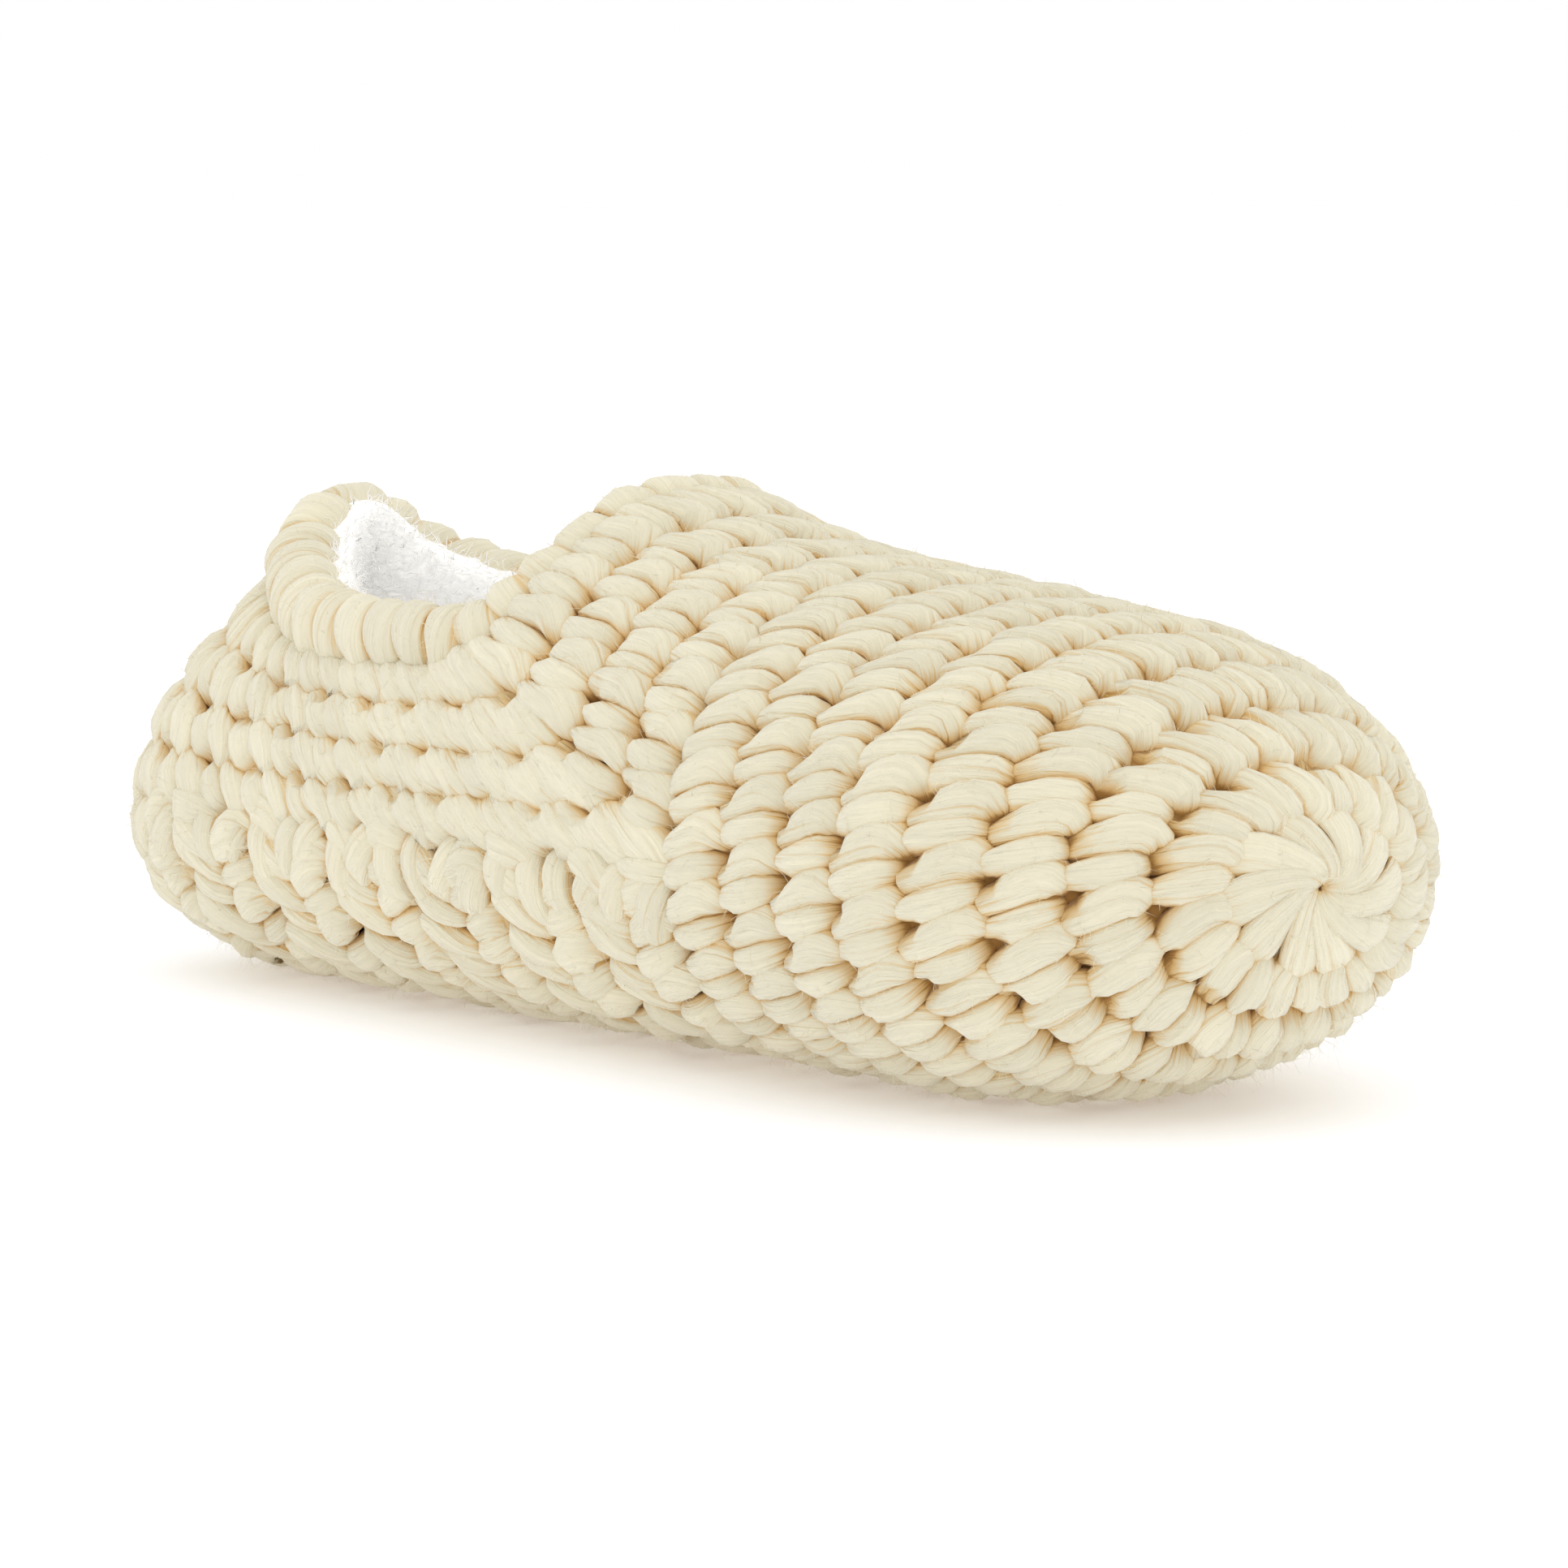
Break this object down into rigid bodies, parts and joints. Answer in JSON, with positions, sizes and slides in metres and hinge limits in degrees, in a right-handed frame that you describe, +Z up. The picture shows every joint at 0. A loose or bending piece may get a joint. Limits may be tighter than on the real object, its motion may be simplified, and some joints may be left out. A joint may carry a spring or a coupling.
{
  "type": "slipper sock",
  "caption": "Crocheted wool slipper sock with a closed toe worked in rounds, a low heel wall, a cupped sole of flat rows, a wrapped roll round the collar and a fleece insole.",
  "frame": {"origin": "on the floor, under the middle of the slipper's length and width", "axes": "+X towards the toe, +Y to the foot's left, +Z up"},
  "size_m": [0.2487, 0.0958, 0.0818],
  "materials": {
    "upper_wool": "thick cream wool yarn, crocheted in rounds",
    "sole_wool": "thick cream wool yarn, crocheted in flat rows",
    "collar_wool": "thick cream wool yarn, wrapped side by side",
    "insole_fleece": "white fleece"
  },
  "bodies": {
    "root": {"upper": "upper_wool", "sole": "sole_wool", "collar_roll": "collar_wool", "insole": "insole_fleece"}
  },
  "joints": []
}
